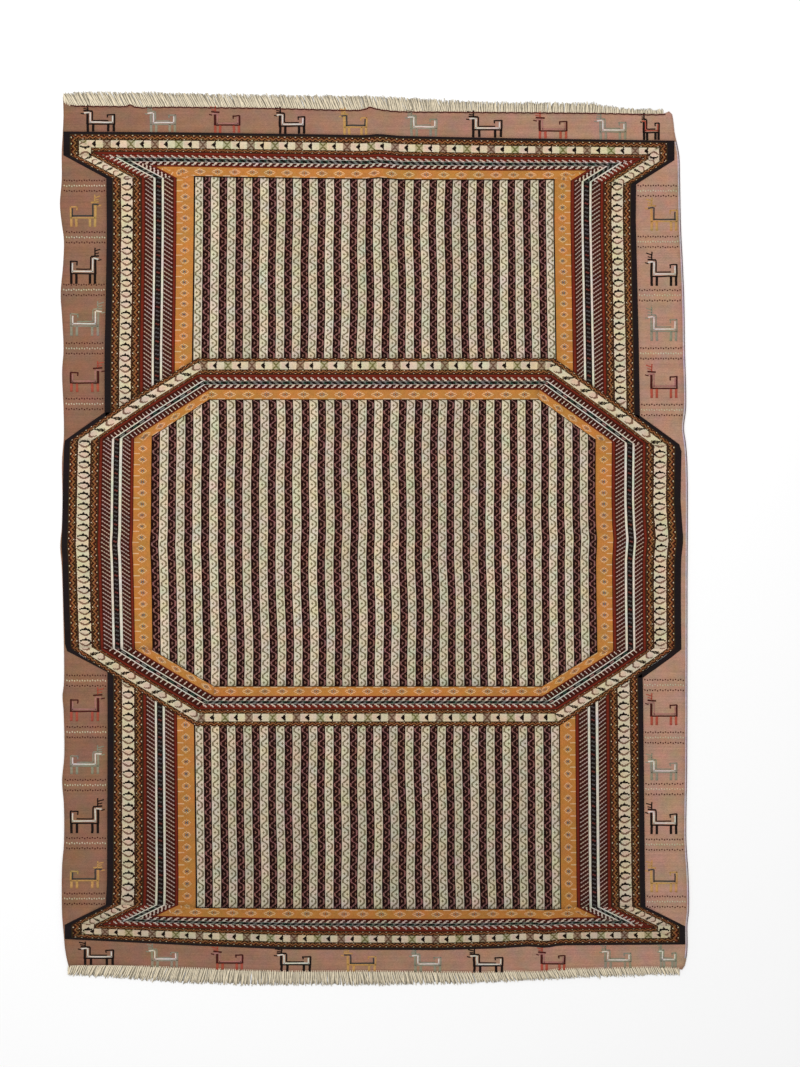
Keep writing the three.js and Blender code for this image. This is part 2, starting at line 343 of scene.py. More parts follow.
def moved(line, amount, axis):
    """A line moved along one axis, so that a region runs in under its neighbour."""
    line = line.copy()
    line[:, axis] += amount
    return line


def between(a, b, shares):
    """Lines that lie at shares of the way from line a to line b."""
    return np.array([a + (b - a) * share for share in shares])


def pairs(rows):
    """Each row beside the next one."""
    rows = np.asarray(rows)
    return np.stack([rows[:-1], rows[1:]], axis=1)


def section(row, widths):
    """The 14 band lines where they cross one row of a run, in pixels, from outer side to field."""
    outer, inner = np.array(row[:2]), np.array(row[2:])
    shares = np.concatenate([[0], np.cumsum(widths)]) / np.sum(widths)
    return outer + shares[:, None] * (inner - outer)


def run_lines(name, widths):
    """All the sections of a run, as rows x 14 x 2."""
    return np.array([section(row, widths) for row in RUNS[name]])


def meeting(a, b, c, d):
    """Where the lines a-b and c-d cross, for arrays of points."""
    ab, cd, ac = b - a, d - c, c - a
    turn = ab[:, X] * cd[:, Y] - ab[:, Y] * cd[:, X]
    share = (ac[:, X] * cd[:, Y] - ac[:, Y] * cd[:, X]) / turn
    return a + share[:, None] * ab


def on_line(a, b, x):
    """The points of the lines a-b at the given x."""
    share = (x - a[:, X]) / (b[:, X] - a[:, X])
    return a + share[:, None] * (b - a)


def mitre(before, after):
    """The corner lines between two runs: where the last stretch of one meets the first of the next."""
    return meeting(before[-2], before[-1], after[0], after[1])


def flare(before, after, ends):
    """The two corner sections of a flared corner: each outer band line stops at its own upright end."""
    x = mitre(before, after)[:, X].copy()
    x[: len(ends)] = ends
    return on_line(before[-2], before[-1], x), on_line(after[0], after[1], x)


def end_on(a, b, outline):
    """Where each of the lines a-b, drawn on, meets an outline of x, y rows with x rising."""
    out = b.copy()
    for k in range(len(a)):
        for c, d in zip(outline[:-1], outline[1:]):
            hit = meeting(a[k:k + 1], b[k:k + 1], c[None], d[None])[0]
            if c[X] - HIT_MARGIN <= hit[X] <= d[X] + HIT_MARGIN:
                out[k] = hit
                break
    return out


def stretch(lines, start, end, axis):
    """A run's lines from one corner section to the next, in steps of about STEP: columns x lines x 2.
    Each line goes evenly from its own start to its own end along the axis, on the run's own bends."""
    length = np.abs(end[:, axis] - start[:, axis]).max() * PIXEL
    count = max(1, int(math.ceil(length / STEP)))
    out = np.empty((count + 1, len(start), 2))
    for k, (a, b) in enumerate(zip(start, end)):
        low, high = sorted((a[axis], b[axis]))
        row = lines[:, k]
        row = row[(row[:, axis] > low + CORNER_CLEAR) & (row[:, axis] < high - CORNER_CLEAR)]
        row = ordered(np.concatenate([[a], row, [b]]), axis)
        out[:, k, axis] = np.linspace(a[axis], b[axis], count + 1)
        out[:, k, 1 - axis] = read_off(row, out[:, k, axis], axis)
        out[0, k], out[-1, k] = a, b
    return out


def read(items, key, width, kind):
    """One property of all the items of a mesh, width values each, as one row."""
    values = np.empty(len(items) * width, kind)
    items.foreach_get(key, values)
    return values


def placed(name, data):
    """A new object of the scene, at the origin."""
    thing = bpy.data.objects.new(name, data)
    bpy.context.scene.collection.objects.link(thing)
    return thing


def bake_map(mesh):
    """The map for baked colour: the faces that look up on its left, seen from above, others right."""
    index = read(mesh.loops, "vertex_index", 1, np.int32)
    xy = read(mesh.vertices, "co", 3, np.float32).reshape(-1, 3)[index, :2]
    low, high = xy.min(axis=0), xy.max(axis=0)
    share = (xy - low) / (high - low)
    rise = read(mesh.polygons, "normal", 3, np.float32)[2::3]
    up = np.repeat(rise > LOOKS_UP, read(mesh.polygons, "loop_total", 1, np.int32))
    left, right = (share[:, X] * width + start for width, start in (UP_MAP, SIDE_MAP))
    corners = np.stack([np.where(up, left, right), share[:, Y] * MAP_HEIGHT[0] + MAP_HEIGHT[1]], axis=1)
    mesh.uv_layers.new(name="OFBake").data.foreach_set("uv", corners.reshape(-1).astype(np.float32))


class Shells:
    """Closed slabs gathered into one mesh: points, faces, weave coordinates, materials and tints."""

    def __init__(self, materials):
        self.materials = materials
        self.numbers = {name: k for k, name in enumerate(materials)}
        self.points, self.faces, self.weave, self.kinds, self.tints = [], [], [], [], []
        self.count = 0

    def add(self, lines, top, bottom, kinds, along=None, across=None, tints=1.0):
        """A slab on m lines of n places in pixels. top is one height, or one a line; kinds and tints
        are for all strips between two lines, or one a strip. along and across are the weave
        coordinates of each strip's two sides: (m-1) x 2 x n and (m-1) x 2."""
        m, n = lines.shape[:2]
        size = m * n
        along = np.zeros((m - 1, 2, n)) if along is None else along
        across = np.zeros((m - 1, 2)) if across is None else across
        across = np.repeat(across[..., None], n, axis=2)
        heights = np.repeat(np.broadcast_to(top, m), n)
        upper = np.column_stack([place(lines).reshape(size, 2), heights])
        lower = upper.copy()
        lower[:, 2] = bottom
        self.points.append(np.concatenate([upper, lower]))
        quads = self.at_corners(pairs(np.arange(size).reshape(m, n)))
        uv = np.stack([self.at_corners(along), self.at_corners(across)], axis=-1)
        kind = np.repeat(np.broadcast_to([self.numbers[name] for name in kinds], m - 1), n - 1)
        tint = np.repeat(np.broadcast_to(tints, m - 1), n - 1)
        p = upper[quads]
        e, f = p[:, 2] - p[:, 0], p[:, 3] - p[:, 1]
        area = e[:, X] * f[:, Y] - e[:, Y] * f[:, X]
        if area.sum() < 0:
            quads, uv = quads[:, ::-1], uv[:, ::-1]
        keep = np.abs(area) > SMALLEST_FACE
        quads, uv, kind, tint = quads[keep], uv[keep], kind[keep], tint[keep]
        walls, face, corner = self.rim(quads, size)
        start_uv, end_uv = uv[face, corner], uv[face, (corner + 1) % 4]
        wall_uv = np.stack([end_uv, start_uv, start_uv, end_uv], axis=1)
        self.faces.append(np.concatenate([quads, quads[:, ::-1] + size, walls]) + self.count)
        self.weave.append(np.concatenate([uv, uv[:, ::-1], wall_uv]))
        self.kinds.append(np.concatenate([kind, kind, kind[face]]))
        self.tints.append(np.concatenate([tint, tint, tint[face]]))
        self.count += 2 * size

    def at_corners(self, values):
        """Values at the four corners of each face, from (m-1) x 2 x n values on strip edges."""
        corners = (values[:, 0, :-1], values[:, 0, 1:], values[:, 1, 1:], values[:, 1, :-1])
        return np.stack(corners, axis=-1).reshape(-1, 4)

    def rim(self, quads, size):
        """The walls below the edges that only one face has, with each wall's face and corner."""
        starts = quads.reshape(-1)
        ends = np.roll(quads, -1, axis=1).reshape(-1)
        alone = ~np.isin(starts * size + ends, ends * size + starts)
        face, corner = np.divmod(np.flatnonzero(alone), 4)
        a, b = starts[alone], ends[alone]
        return np.stack([b, a, a + size, b + size], axis=1), face, corner

    def build(self, name):
        """The gathered slabs as one object."""
        points, faces = np.concatenate(self.points), np.concatenate(self.faces)
        mesh = bpy.data.meshes.new(name)
        mesh.vertices.add(len(points))
        mesh.vertices.foreach_set("co", points.reshape(-1))
        mesh.loops.add(faces.size)
        mesh.loops.foreach_set("vertex_index", faces.reshape(-1).astype(np.int32))
        mesh.polygons.add(len(faces))
        mesh.polygons.foreach_set("loop_start", np.arange(0, faces.size, 4, dtype=np.int32))
        mesh.polygons.foreach_set("material_index", np.concatenate(self.kinds).astype(np.int32))
        weave = mesh.uv_layers.new(name="weave")
        weave.data.foreach_set("uv", np.concatenate(self.weave).reshape(-1).astype(np.float32))
        tint = mesh.attributes.new("tint", "FLOAT", "FACE")
        tint.data.foreach_set("value", np.concatenate(self.tints).astype(np.float32))
        for material in self.materials.values():
            mesh.materials.append(material)
        mesh.update(calc_edges=True)
        bake_map(mesh)
        return placed(name, mesh)


def linear(code):
    """An sRGB hex colour as linear values with full alpha."""
    values = [int(code[k:k + 2], 16) / 255 for k in (1, 3, 5)]
    return [v / 12.92 if v <= 0.04045 else ((v + 0.055) / 1.055) ** 2.4 for v in values] + [1.0]


def add(tree, kind, inputs=(), **settings):
    """Adds a shader node, sets its properties and fills its inputs, each with a value or a link.
    inputs is a list in the order of the sockets, or pairs of socket and value. Returns the node."""
    node = tree.nodes.new("ShaderNode" + kind)
    for key, value in settings.items():
        setattr(node, key, value)
    for key, value in inputs.items() if isinstance(inputs, dict) else enumerate(inputs):
        if isinstance(value, bpy.types.Node):
            value = value.outputs[0]
        if isinstance(value, bpy.types.NodeSocket):
            tree.links.new(value, node.inputs[key])
        else:
            node.inputs[key].default_value = value
    return node


def new_material(name):
    """An empty material and its node tree."""
    material = bpy.data.materials.new(name)
    material.use_nodes = True
    material.node_tree.nodes.clear()
    return material, material.node_tree


def multiplied(tree, factors):
    """The product of several values."""
    product = factors[0]
    for factor in factors[1:]:
        product = add(tree, "Math", (product, factor), operation="MULTIPLY")
    return product


def yarn_surface(tree, colour, ridges, strength, depth, roughness, shine, sheen):
    """Ends a material with a matt fibre surface: ridges raised by a bump, and a faint fuzz of sheen."""
    bump = add(tree, "Bump", {"Height": ridges, "Strength": strength, "Distance": depth})
    surface = add(tree, "BsdfPrincipled", {
        "Base Color": colour, "Roughness": roughness, "Normal": bump,
        "Specular IOR Level": shine, "Sheen Weight": sheen, "Sheen Roughness": 0.5,
    })
    add(tree, "OutputMaterial", (surface,))


def charted(tree, chart, yarns, upright):
    """The colour that a chart gives at a place. Each row of the chart is a stepped ramp along the row,
    the row itself is picked by its number, and a fine noise makes the edges of the figures uneven."""
    uv = add(tree, "UVMap", uv_map="weave")
    place_in = add(tree, "TexCoord").outputs["Object"]
    wobble = add(tree, "TexNoise", {"Vector": place_in, "Scale": 260.0, "Detail": 1.0})
    shift = add(tree, "VectorMath", (wobble.outputs["Color"], (0.5, 0.5, 0.5)), operation="SUBTRACT")
    scaled = add(tree, "VectorMath", (shift, (0.05, 0.10, 0.0)), operation="MULTIPLY")
    uneven = add(tree, "VectorMath", (uv, scaled), operation="ADD")
    parts = add(tree, "SeparateXYZ", (uneven,))
    along = add(tree, "Math", (parts,), operation="FRACT")
    across = add(tree, "Math", (parts.outputs[1], 1.0), operation="MULTIPLY", use_clamp=True)
    column, row = (across, along) if upright else (along, across)
    number = add(tree, "Math", (row, float(len(chart))), operation="MULTIPLY")
    number = add(tree, "Math", (number,), operation="FLOOR")
    ramps = {cells: stepped_ramp(tree, cells, yarns, column) for cells in dict.fromkeys(chart)}
    colour = ramps[chart[0]]
    for k, cells in enumerate(chart[1:], 1):
        here = add(tree, "Math", (number, k - 0.5), operation="GREATER_THAN")
        pick = add(tree, "Mix", {"Factor": here, 6: colour, 7: ramps[cells]}, data_type="RGBA")
        colour = pick.outputs[2]
    return colour


def stepped_ramp(tree, cells, yarns, column):
    """One row of a chart as a colour ramp with a stop at each change of yarn."""
    node = add(tree, "ValToRGB", (column,))
    ramp = node.color_ramp
    ramp.interpolation = "CONSTANT"
    ramp.elements.remove(ramp.elements[1])
    ramp.elements[0].position = 0.0
    ramp.elements[0].color = linear(yarns[cells[0]])
    for k in range(1, len(cells)):
        if cells[k] != cells[k - 1]:
            ramp.elements.new(k / len(cells)).color = linear(yarns[cells[k]])
    return node


def wool(tree, colour, pitch=WOOL, low_end=0.71, uneven=0.16):
    """Ends a woollen material: dye that varies in patches and from wrap to wrap, rows of slanting wraps
    with painted shade in the hollows between them, a soft change of hue, and painted light that falls off
    to low_end of its strength at the bottom end."""
    place_in = add(tree, "TexCoord").outputs["Object"]
    dye = add(tree, "Mapping", {"Vector": place_in, "Scale": (2.0, 9.0, 1.0)})
    patches = add(tree, "TexNoise", {"Vector": dye, "Scale": 3.0, "Detail": 3.0, "Roughness": 0.6})
    cells = add(tree, "VectorMath", (place_in, (*pitch, 1.0)), operation="SNAP")
    wraps = add(tree, "TexWhiteNoise", (cells,), noise_dimensions="3D")
    tone = add(tree, "Math", (patches, wraps), operation="ADD")
    level = add(tree, "MapRange", (tone, 0.4, 1.6, 1.0 - uneven, 1.0 + uneven))
    parts = add(tree, "SeparateXYZ", (place_in,))
    row = add(tree, "Math", (parts.outputs[1], 1 / pitch[1]), operation="MULTIPLY")
    slant = add(tree, "Math", (parts, 1 / pitch[0], row), operation="MULTIPLY_ADD")
    half_row = add(tree, "Math", (row, 0.5), operation="PINGPONG")
    half_wrap = add(tree, "Math", (slant, 0.5), operation="PINGPONG")
    height = add(tree, "Math", (half_row, half_wrap, 0.2), operation="SMOOTH_MIN")
    # painted shade: darker in the hollows between rows and wraps, a little lighter on their crests
    shade = add(tree, "MapRange", (height, 0.0, 0.35, 0.80, 1.06))
    # painted shade: the colour darkens towards the bottom end, down to low_end, as light that falls off
    # there
    painted_falloff = add(tree, "MapRange", (parts.outputs[1], -1.15, -0.25, low_end, 0.92))
    tint = add(tree, "Attribute", attribute_name="tint").outputs["Fac"]
    strength = multiplied(tree, (level, shade, painted_falloff, tint))
    toned = add(tree, "VectorMath", {0: colour, "Scale": strength}, operation="SCALE")
    hue = add(tree, "TexNoise", {"Vector": place_in, "Scale": 24.0, "Detail": 2.0}).outputs["Color"]
    hue = add(tree, "VectorMath", (hue, (0.5, 0.3, 0.5), (0.75, 0.85, 0.75)), operation="MULTIPLY_ADD")
    toned = add(tree, "VectorMath", (toned, hue), operation="MULTIPLY")
    yarn_surface(tree, toned, height, 0.6, 0.0003, 0.9, 0.08, 0.02)


def woven(name, chart, upright=True, **swaps):
    """A woollen material with a chart. swaps are the yarn colours that some letters get here."""
    material, tree = new_material(name)
    wool(tree, charted(tree, chart, {**YARNS, **swaps}, upright))
    return material


def plain(name, left, right=None, streak=0.1, pitch=WOOL, low_end=0.9):
    """A woollen material of one yarn, with long streaks along the weft where the dye changes. With a
    right colour it turns evenly from one side of the carpet to the other."""
    material, tree = new_material(name)
    place_in = add(tree, "TexCoord").outputs["Object"]
    long_way = add(tree, "Mapping", {"Vector": place_in, "Scale": (1.5, 140.0, 1.0)})
    streaks = add(tree, "TexNoise", {"Vector": long_way, "Scale": 2.0, "Detail": 3.0})
    level = add(tree, "MapRange", (streaks, 0.3, 0.7, 1 - streak, 1 + streak))
    side = add(tree, "MapRange", (add(tree, "SeparateXYZ", (place_in,)), -0.88, 0.88))
    both = add(tree, "Mix", {"Factor": side, 6: linear(left), 7: linear(right or left)}, data_type="RGBA")
    tone = add(tree, "VectorMath", {0: both.outputs[2], "Scale": level}, operation="SCALE")
    wool(tree, tone.outputs[0], pitch, low_end)
    return material


LEVEL_VINE = tuple(zip(*VINE))
KINDS = {
    # warm brown, paler to the right, streaked along the weft
    "ground": plain("brown plain-weave wool", "#8e6751", "#b68d77", 0.09, PLAIN_WOOL),
    # a near-black frame round the pattern
    "navy": plain("navy wool", YARNS["n"]),
    # a deep red line with darker sides
    "red": woven("madder red wool", ("mrrrm",)),
    # a bright thin line between dark ones
    "line": woven("white wool line", ("kwwwwwwwwwk",), w="#e0d8c6"),
    # a hard dark edge to the stripes
    "edge": plain("black wool line", YARNS["k"]),
    # rust and gold flecks that zigzag over dark brown
    "outer vine": woven("vine in rust wool", VINE),
    "inner vine": woven("inner vine in rust wool", tuple(row[::-1] for row in VINE)),
    # black hooked figures that stand out on cream
    "motif": woven("figures on cream wool", FIGURES),
    # thin pale lines that slant over maroon
    "barber": woven("slanting white wool lines", BARBER, w="#bda596"),
    # short dashes, mostly grey, on black
    "dash": woven("short dashes on black wool", DASH, s="#544f4d", p="#6f3a33"),
    # a glowing orange band with small pale lozenges
    "orange": woven("lozenges on orange wool", LOZENGES),
    # the same bands where they run level, their figures turned and longer
    "outer vine level": woven("level vine in rust wool", LEVEL_VINE, False),
    "inner vine level": woven("level inner vine in rust wool", LEVEL_VINE[::-1], False),
    "motif level": woven(
        "arrowheads on cream wool", TWO_ARROWHEADS, False,
        t="#9d8770", y="#664736", e="#b5aa88", d="#6f6a3d",
    ),
    "outer barber level": woven("outer feather in white wool", BARBS_OUT, False),
    "inner barber level": woven("inner feather in white wool", BARBS_IN, False),
    "dash level": woven("dashes on a black wool rib", DASH_LEVEL, False),
    "orange level": woven("level lozenges on orange wool", LOZENGES_LEVEL, False),
    # and where they slope, coarser and slanting
    "motif slope": woven("slanted figures on cream wool", SLANTED, False),
    "dash slope": woven("dashes on sloping black wool", DASH_SLOPE, False),
    "ticks": woven("white ticks on maroon wool", TICKS, False),
    # a faint taupe zigzag on cream, and a rose one on near-black
    "cream stripe": woven("meander on cream wool", MEANDER, c="#d9cbb1", t="#7b6e53", d="#746748"),
    "dark stripe": woven("meander on black wool", THIN_MEANDER, c="#210806", t="#8a5d57", d="#86604f"),
}

# Bands that get a material of their own in a style of run
OWN_KINDS = {
    ("barber", "upright"): "barber", ("barber", "slope"): "ticks", ("dash", "slope"): "dash slope",
    ("motif", "slope"): "motif slope", ("motif", "shoulder"): "motif slope",
}

# Bands whose chart runs the other way along or across a run
TURNED = {
    "upper right": (("dash", "across"),),
    "medallion right": (("dash", "across"),),
    "lower right": (("dash", "across"),),
    "medallion bottom": (("barber", "along"),),
    "bottom": (("barber", "along"),),
    "upper right slope": (("motif", "along"), ("barber", "along")),
    "lower left slope": (("motif", "across"), ("barber", "along")),
    "lower right slope": (("motif", "along"), ("motif", "across")),
}


def kind_of(band, style):
    """The material of a band on a run that is upright, level or a slope, or a shoulder or an end."""
    word = band.split()[-1]
    if word in ("navy", "edge", "red", "line"):
        return word
    if (word, style) in OWN_KINDS:
        return OWN_KINDS[word, style]
    level = style in ("level", "slope") or (style != "upright" and word in ("barber", "dash"))
    return band + " level" if level else band


def repeat_of(word, style, run):
    """Pixels of one repeat along a run, for the chart of the bands whose name ends in the word."""
    if (word, style) == ("motif", "shoulder"):
        return SHOULDER_MOTIF
    row = REPEATS.get(run) or REPEATS[run.split()[0]]
    return dict(zip(REPEATING, row), vine=VINE_REPEAT).get(word, PLAIN_REPEAT)


def seamed(lines, top):
    """Heights of the lines of strips that have three lines each and a seam between two strips."""
    return np.where(np.arange(len(lines)) % 3, top, top - GROOVE)


shells = Shells(KINDS)


def add_border(columns, run, style, top, first=0):
    """One run of a border, from the first band on: columns is its sections in pixels, n x 14 x 2. Each
    band becomes a strip whose two sides slope down into the seams beside it."""
    strips = [between(columns[:, k], columns[:, k + 1], CUTS) for k in range(first, len(BANDS))]
    lines = np.concatenate([strips[0][:1]] + [strip[1:] for strip in strips])
    ways = {"upright": np.array([0.0, 1.0]), "level": np.array([1.0, 0.0])}
    way = ways.get(style, columns[-1].mean(axis=0) - columns[0].mean(axis=0))
    distance = lines @ (way / np.linalg.norm(way))
    along, across, kinds = [], [], []
    for k, band in enumerate(BANDS[first:]):
        word = band.split()[-1]
        turned = [direction for name, direction in TURNED.get(run, ()) if name == word]
        u = distance[3 * k:3 * k + 4] / repeat_of(word, style, run) + WEAVE_START
        v = np.array(CUTS)
        along.append(pairs(WEAVE_END - u if "along" in turned else u))
        across.append(pairs(1 - v if "across" in turned else v))
        kinds += 3 * [kind_of(band, style)]
    across = np.concatenate(across)
    shells.add(lines, seamed(lines, top), BORDER_LIFT, kinds, np.concatenate(along), across)


# The medallion's border, a closed ring of runs, clockwise from its left side
RING = (
    "medallion left", "upper left slope", "medallion top", "upper right slope",
    "medallion right", "lower right slope", "medallion bottom", "lower left slope",
)
UPPER_SIDE, LOWER_SIDE = RING[1:4], RING[:4:-1]
STYLES = {"left": "upright", "right": "upright", "top": "level", "bottom": "level", "slope": "slope"}


def medallion_border():
    """Adds the ring, and gives its outer and inner lines run by run."""
    runs = [run_lines(name, (0.0,) + WIDTHS.get(name, WIDTHS["slope"])[1:]) for name in RING]
    corners = [mitre(runs[k - 1], runs[k]) for k in range(len(RING))]
    outer, inner = {}, {}
    for name, lines, start, end in zip(RING, runs, corners, corners[1:] + corners[:1]):
        style = STYLES[name.split()[-1]]
        columns = stretch(lines, start, end, Y if style == "upright" else X)
        add_border(columns, name, style, MEDALLION_TOP, 1)
        outer[name], inner[name] = columns[:, 1], columns[:, -1]
    return outer, inner


def end_border(end, level_name, outline):
    """Adds one open border: an upright, a shoulder and a flared corner on each side, and the level run
    between the corners. Gives its outer and inner lines by name."""
    level = run_lines(level_name, WIDTHS[level_name])
    outer, inner, corners = {}, {}, []
    for side, high in (("left", level), ("right", level[::-1])):
        run = end + " " + side
        up = run_lines(run, WIDTHS[run])
        shoulder = np.array([up[0], section(SHOULDER_ENDS[run], WIDTHS[run])])
        low_corner, high_corner = flare(shoulder, high, FLARE_ENDS[run])
        for k in (-2, -1):
            square = meeting(up[:1, k], up[1:2, k], high[:1, k], high[1:2, k])[0]
            low_corner[k] = high_corner[k] = up[0, k] = square
        parts = {
            "upright": stretch(up, up[0], end_on(up[-2], up[-1], outline), Y),
            "shoulder": stretch(np.stack([low_corner, up[0]]), low_corner, up[0], X),
            "end": np.stack([low_corner, high_corner]),
        }
        for style, columns in parts.items():
            add_border(columns, run, style, BORDER_TOP)
            outer[run, style] = columns[:, 0]
        inner[side] = parts["upright"][:, -1]
        corners.append(high_corner)
    columns = stretch(level, *corners, X)
    add_border(columns, level_name, "level", BORDER_TOP)
    outer["level"], inner["level"] = columns[:, 0], columns[:, -1]
    return outer, inner


ring_outer, ring_inner = medallion_border()
ring_top, ring_bottom = joined(ring_outer, UPPER_SIDE, X), joined(ring_outer, LOWER_SIDE, X)
upper_outer, upper_inner = end_border("upper", "top", ring_top)
lower_outer, lower_inner = end_border("lower", "bottom", ring_bottom)


def add_field(name, left, right, top, bottom):
    """A striped field between four lines in pixels, tucked in under the borders round it. Its stripes
    run from the bottom to the top, bunch to one side and sway a little."""
    count, repeat, start, bunch, first = FIELDS[name]
    left, right = moved(ordered(left, Y), -TUCK, X), moved(ordered(right, Y), TUCK, X)
    top, bottom = moved(ordered(top, X), -TUCK, Y), moved(ordered(bottom, X), TUCK, Y)
    shares = np.append(np.add.outer(np.arange(count), CUTS[:3]).reshape(-1) / count, 1.0)[:, None]
    spread = shares + bunch * np.sin(np.pi * shares)

    def x_at(y):
        a, b = read_off(left, y, Y), read_off(right, y, Y)
        return a + (b - a) * spread

    y_top = read_off(top, x_at(top[:, Y].mean()), X)
    y_bottom = read_off(bottom, x_at(bottom[:, Y].mean()), X)
    steps = int(math.ceil((y_bottom - y_top).max() * PIXEL / STEP))
    y = y_top + (y_bottom - y_top) * np.linspace(0, 1, steps + 1)
    sway = sum(width * np.sin(y / pace + turn * shares) for width, pace, turn in SWAYS)
    lines = np.stack([x_at(y) + sway * np.sin(np.pi * shares), y], axis=-1)
    rng = np.random.default_rng(SEED)
    kinds, tints = [], []
    for k in range(count):
        kinds += 3 * [STRIPES[(k + first) % 2]]
        tints += 3 * [1 + rng.uniform(-TONE_SPREAD, TONE_SPREAD)]
    along, across = pairs((y - start) / repeat + FIELD_START), np.tile(pairs(CUTS), (count, 1))
    shells.add(lines, seamed(lines, FIELD_TOP), FIELD_LIFT, kinds, along, across, tints)


add_field("upper", upper_inner["left"], upper_inner["right"], upper_inner["level"], ring_top)
add_field("lower", lower_inner["left"], lower_inner["right"], ring_bottom, lower_inner["level"])
add_field(
    "medallion", ring_inner["medallion left"], ring_inner["medallion right"],
    joined(ring_inner, UPPER_SIDE, X), joined(ring_inner, LOWER_SIDE, X),
)

# The ends of the navy strip beside the medallion, from one end border to the other: outer and inner
NAVY_ENDS = {
    "left": (((107.7, 672.0), (115.5, 676.0)), ((104.8, 412.5), (113.5, 412.6))),
    "right": (((640.2, 416.0), (631.0, 413.6)), ((643.0, 677.5), (634.5, 677.5))),
}
NAVY_TUCK = 1.2  # pixels that it runs in under the medallion
NAVY_CUTS = (0.0, 0.2, 0.8, 1.0)
NAVY_HEIGHTS = (BORDER_TOP - GROOVE, BORDER_TOP, BORDER_TOP, BORDER_TOP - 2 * GROOVE)


def navy_side(side, sign):
    """The navy strip that runs round one side of the medallion. Gives its outer line."""
    run = "medallion " + side
    start, end = NAVY_ENDS[side]
    out, tuck = sign * WIDTHS[run][0], sign * NAVY_TUCK
    columns = [start] + [((row[0] + out, row[1]), (row[0] - tuck, row[1])) for row in RUNS[run]] + [end]
    columns = np.array(columns)
    columns = stretch(columns, columns[0], columns[-1], Y)
    lines = between(columns[:, 0], columns[:, 1], NAVY_CUTS)
    shells.add(lines, NAVY_HEIGHTS, NAVY_LIFT, ["navy"])
    return columns[:, 0]


def pattern_side(side, sign):
    """The navy line's outer side along one side of the carpet, as places with y rising."""
    parts = [navy_side(side, sign)]
    for outer, end in ((upper_outer, "upper "), (lower_outer, "lower ")):
        parts.extend(outer[end + side, style] for style in ("upright", "shoulder", "end"))
    return ordered(np.concatenate(parts), Y)


pattern_left, pattern_right = pattern_side("left", -1), pattern_side("right", 1)
pattern_top, pattern_bottom = ordered(upper_outer["level"], X), ordered(lower_outer["level"], X)


UNDERSIDE = 0.0001  # height below which a point of the solid lies on its underside
INNERMOST_EDGE = (0.8, 1.18)  # every point of the edges lies farther out than this, in x or in y


def cad_outline():
    """The carpet's edges from its CAD solid, as four rows of places: left, right, top, bottom."""
    points = read(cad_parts["carpet_cloth"].data.vertices, "co", 3, np.float32).reshape(-1, 3)
    flat = np.unique(np.round(points[points[:, 2] < UNDERSIDE, :2], 5), axis=0)
    flat = flat[(np.abs(flat) > INNERMOST_EDGE).any(axis=1)]
    flat = flat[np.argsort(np.arctan2(flat[:, Y], flat[:, X]))]
    corners = [int(np.argmax(flat @ np.array(way))) for way in ((-1, -1), (1, -1), (1, 1), (-1, 1))]
    low_left, low_right, high_right, high_left = corners
    pixels = flat * np.array([1 / PIXEL, -1 / PIXEL]) + MIDDLE
    ring = np.concatenate([pixels, pixels])
    sides = []
    for a, b, axis in (
        (high_left, low_left, Y), (low_right, high_right, Y),
        (high_right, high_left, X), (low_left, low_right, X),
    ):
        last = b if b >= a else b + len(pixels)
        sides.append(ordered(ring[a:last + 1], axis))
    return sides


edge_left, edge_right, edge_top, edge_bottom = cad_outline()
STRIP_CUTS = np.linspace(0, 1, 7)  # lines of a brown strip, from the cloth's edge to the navy line
STRIP_PLACES = 90  # even places along an end strip, beside those of the cloth's edge


def end_strip(edge, pattern):
    """The brown strip at one end: rows of places from the cloth's edge to the navy line, whose ends
    follow the cloth's two long edges. Gives its last row."""
    ends = edge[0, X], edge[-1, X]
    at = np.unique(np.concatenate([edge[:, X], np.linspace(*ends, STRIP_PLACES)]))
    share = (at - ends[0]) / (ends[1] - ends[0])
    outer_y = read_off(edge, at, X)
    lines = []
    for s in STRIP_CUTS:
        left = read_off(edge_left, outer_y[0] + (pattern[0, Y] - outer_y[0]) * s, Y)
        right = read_off(edge_right, outer_y[-1] + (pattern[-1, Y] - outer_y[-1]) * s, Y)
        x = at if s == 0 else left + (right - left) * share
        y = outer_y + (read_off(pattern, x, X) - outer_y) * s
        lines.append(np.stack([x, y], axis=1))
    shells.add(np.array(lines), GROUND_TOP, 0.0, ["ground"])
    return lines[-1]


top_inner = end_strip(edge_top, moved(pattern_top, TUCK, Y))
bottom_inner = end_strip(edge_bottom, moved(pattern_bottom, -TUCK, Y))
for edge, pattern, sign, end in ((edge_left, pattern_left, 1, 0), (edge_right, pattern_right, -1, -1)):
    high, low = top_inner[end, Y], bottom_inner[end, Y]
    at = np.unique(np.concatenate([edge[:, Y], pattern[:, Y], [high, low]]))
    at = at[(at >= high) & (at <= low)]
    pattern = moved(pattern, sign * TUCK, X)
    a, b = (np.stack([read_off(line, at, Y), at], axis=1) for line in (edge, pattern))
    shells.add(between(a, b, STRIP_CUTS), GROUND_TOP, 0.0, ["ground"])

cloth = shells.build("carpet_weave")
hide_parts("carpet_cloth")
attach(cloth, "root")

# Single yarns of the figures and lines that are woven in on the brown strips; the last two are a painted
# highlight and a painted shadow of the right edge
SINGLES = {
    "black": "#1d1310", "white": "#d8cfc2", "grey": "#908a76", "cream": "#c9bd9f", "maroon": "#4a1c18",
    "rose": "#a8736a", "scarlet": "#a9513f", "straw": "#bd9158", "iron": "#3f3d3a", "painted_edge_highlight": "#c3b3b8",
    "plum": "#4c3340",
}

# Yarns of a goat: outline, neck and body line, legs and horns, inner outline
COATS = {
    "pied": ("black", "white", "black", "black"),
    "grey": ("grey", "white", "grey", "grey"),
    "red": ("maroon", "rose", "scarlet", None),
    "yellow": ("straw", "iron", "straw", None),
    "mixed": ("black", "scarlet", "black", "black"),
}

